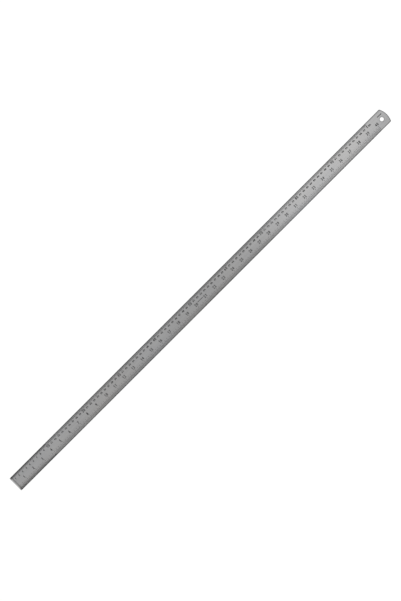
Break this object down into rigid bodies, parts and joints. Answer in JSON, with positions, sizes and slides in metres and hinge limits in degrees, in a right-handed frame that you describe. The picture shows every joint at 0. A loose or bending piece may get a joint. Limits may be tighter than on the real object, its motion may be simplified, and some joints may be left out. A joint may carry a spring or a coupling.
{
  "type": "steel rule",
  "caption": "Long flat steel rule with a metric scale on one edge and an inch scale on the other, square zero end, rounded end with a hang hole.",
  "frame": {"origin": "middle of the flat face of the zero end, where both scales start, halfway through the thickness", "axes": "+X along the rule from the zero end to the rounded end, +Y across it towards the metric edge, +Z out of the graduated face"},
  "size_m": [1.045, 0.0336, 0.0012],
  "materials": {
    "blade_steel": "satin, brushed along its length",
    "mark_black": "matte"
  },
  "bodies": {
    "root": {"steel_blade": "blade_steel", "metric_line_infill": "mark_black", "metric_numeral_infill": "mark_black", "inch_line_infill": "mark_black", "inch_numeral_infill": "mark_black", "middle_mark_infill": "mark_black", "end_mark_infill": "mark_black"}
  },
  "joints": []
}
